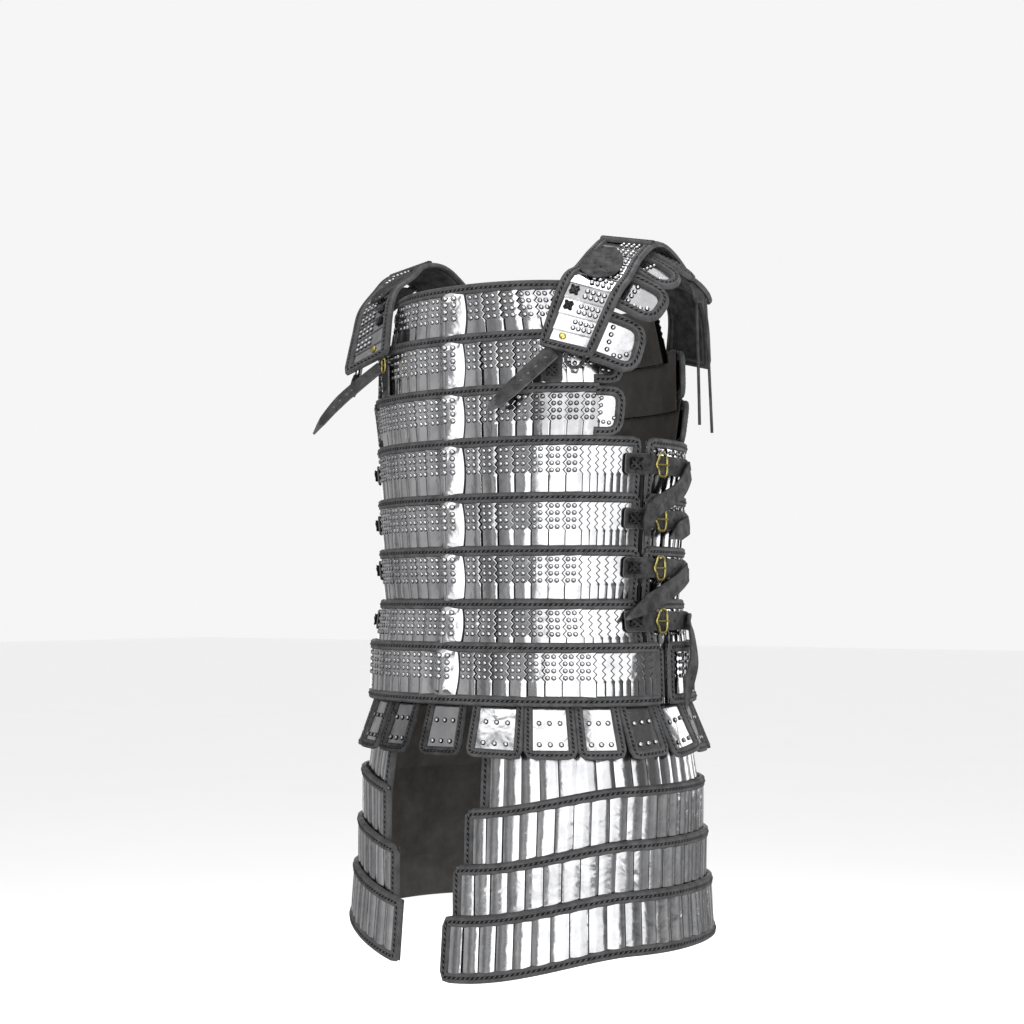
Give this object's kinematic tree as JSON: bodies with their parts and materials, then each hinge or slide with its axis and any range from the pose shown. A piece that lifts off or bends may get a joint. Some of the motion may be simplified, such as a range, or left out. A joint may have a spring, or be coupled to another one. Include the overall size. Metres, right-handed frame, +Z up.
{
  "type": "lamellar armour",
  "caption": "Lamellar cuirass of laced steel rows, open at neck, arms and hem, with shoulder straps, D-shaped shoulder plates, hip tabs and tassets.",
  "frame": {"origin": "midway between the undersides of the two shoulder straps, where the wearer's shoulders carry the armour", "axes": "+Z up along the wearer's body, -Y out of the chest, +X towards the wearer's left"},
  "size_m": [0.5279, 0.4166, 0.9488],
  "materials": {
    "front_row_1": "polished lamellae with black leather bindings",
    "back_row_1": "polished lamellae with black leather bindings",
    "front_row_2": "polished lamellae with black leather bindings",
    "back_row_2": "polished lamellae with black leather bindings",
    "front_row_3": "polished lamellae with black leather bindings",
    "back_row_3": "polished lamellae with black leather bindings",
    "front_row_4": "polished lamellae with black leather bindings",
    "back_row_4": "polished lamellae with black leather bindings",
    "front_row_5": "polished lamellae with black leather bindings",
    "back_row_5": "polished lamellae with black leather bindings",
    "front_row_6": "polished lamellae with black leather bindings",
    "back_row_6": "polished lamellae with black leather bindings",
    "front_row_7": "polished lamellae with black leather bindings",
    "back_row_7": "polished lamellae with black leather bindings",
    "front_row_8": "polished lamellae with black leather bindings",
    "back_row_8": "polished lamellae with black leather bindings",
    "tasset_left_row_1": "polished lamellae with black leather bindings",
    "tasset_left_row_2": "polished lamellae with black leather bindings",
    "tasset_left_row_3": "polished lamellae with black leather bindings",
    "tasset_left_row_4": "polished lamellae with black leather bindings",
    "tasset_right_row_1": "polished lamellae with black leather bindings",
    "tasset_right_row_2": "polished lamellae with black leather bindings",
    "tasset_right_row_3": "polished lamellae with black leather bindings",
    "tasset_right_row_4": "polished lamellae with black leather bindings",
    "hip_tabs_front": "polished lamellae with black leather bindings",
    "hip_tabs_back": "polished lamellae with black leather bindings",
    "shoulder_strap_left": "polished lamellae with black leather bindings",
    "shoulder_plate_left_1": "polished lamellae with black leather bindings",
    "shoulder_plate_left_2": "polished lamellae with black leather bindings",
    "shoulder_plate_left_3": "polished lamellae with black leather bindings",
    "shoulder_plate_left_4": "polished lamellae with black leather bindings",
    "shoulder_plate_left_5": "polished lamellae with black leather bindings",
    "shoulder_tongue_left": "matte black leather",
    "shoulder_buckle_left": "matte black leather",
    "side_strap_left_1": "matte black leather",
    "side_buckle_left_1": "polished brass",
    "side_strap_left_2": "matte black leather",
    "side_buckle_left_2": "polished brass",
    "side_strap_left_3": "matte black leather",
    "side_buckle_left_3": "polished brass",
    "side_strap_left_4": "matte black leather",
    "side_buckle_left_4": "polished brass",
    "shoulder_strap_right": "polished lamellae with black leather bindings",
    "shoulder_plate_right_1": "polished lamellae with black leather bindings",
    "shoulder_plate_right_2": "polished lamellae with black leather bindings",
    "shoulder_plate_right_3": "polished lamellae with black leather bindings",
    "shoulder_plate_right_4": "polished lamellae with black leather bindings",
    "shoulder_plate_right_5": "polished lamellae with black leather bindings",
    "shoulder_tongue_right": "matte black leather",
    "shoulder_buckle_right": "polished brass",
    "side_strap_right_1": "matte black leather",
    "side_buckle_right_1": "polished brass",
    "side_strap_right_2": "matte black leather",
    "side_buckle_right_2": "polished brass",
    "side_strap_right_3": "matte black leather",
    "side_buckle_right_3": "polished brass",
    "side_strap_right_4": "matte black leather",
    "side_buckle_right_4": "polished brass",
    "lace_1": "matte black leather",
    "lace_2": "matte black leather"
  },
  "bodies": {
    "root": {"front_row_1": "front_row_1", "back_row_1": "back_row_1", "front_row_2": "front_row_2", "back_row_2": "back_row_2", "front_row_3": "front_row_3", "back_row_3": "back_row_3", "front_row_4": "front_row_4", "back_row_4": "back_row_4", "front_row_5": "front_row_5", "back_row_5": "back_row_5", "front_row_6": "front_row_6", "back_row_6": "back_row_6", "front_row_7": "front_row_7", "back_row_7": "back_row_7", "front_row_8": "front_row_8", "back_row_8": "back_row_8", "tasset_left_row_1": "tasset_left_row_1", "tasset_left_row_2": "tasset_left_row_2", "tasset_left_row_3": "tasset_left_row_3", "tasset_left_row_4": "tasset_left_row_4", "tasset_right_row_1": "tasset_right_row_1", "tasset_right_row_2": "tasset_right_row_2", "tasset_right_row_3": "tasset_right_row_3", "tasset_right_row_4": "tasset_right_row_4", "hip_tabs_front": "hip_tabs_front", "hip_tabs_back": "hip_tabs_back", "shoulder_strap_left": "shoulder_strap_left", "shoulder_plate_left_1": "shoulder_plate_left_1", "shoulder_plate_left_2": "shoulder_plate_left_2", "shoulder_plate_left_3": "shoulder_plate_left_3", "shoulder_plate_left_4": "shoulder_plate_left_4", "shoulder_plate_left_5": "shoulder_plate_left_5", "shoulder_tongue_left": "shoulder_tongue_left", "shoulder_buckle_left": "shoulder_buckle_left", "side_strap_left_1": "side_strap_left_1", "side_buckle_left_1": "side_buckle_left_1", "side_strap_left_2": "side_strap_left_2", "side_buckle_left_2": "side_buckle_left_2", "side_strap_left_3": "side_strap_left_3", "side_buckle_left_3": "side_buckle_left_3", "side_strap_left_4": "side_strap_left_4", "side_buckle_left_4": "side_buckle_left_4", "shoulder_strap_right": "shoulder_strap_right", "shoulder_plate_right_1": "shoulder_plate_right_1", "shoulder_plate_right_2": "shoulder_plate_right_2", "shoulder_plate_right_3": "shoulder_plate_right_3", "shoulder_plate_right_4": "shoulder_plate_right_4", "shoulder_plate_right_5": "shoulder_plate_right_5", "shoulder_tongue_right": "shoulder_tongue_right", "shoulder_buckle_right": "shoulder_buckle_right", "side_strap_right_1": "side_strap_right_1", "side_buckle_right_1": "side_buckle_right_1", "side_strap_right_2": "side_strap_right_2", "side_buckle_right_2": "side_buckle_right_2", "side_strap_right_3": "side_strap_right_3", "side_buckle_right_3": "side_buckle_right_3", "side_strap_right_4": "side_strap_right_4", "side_buckle_right_4": "side_buckle_right_4", "lace_1": "lace_1", "lace_2": "lace_2"}
  },
  "joints": []
}
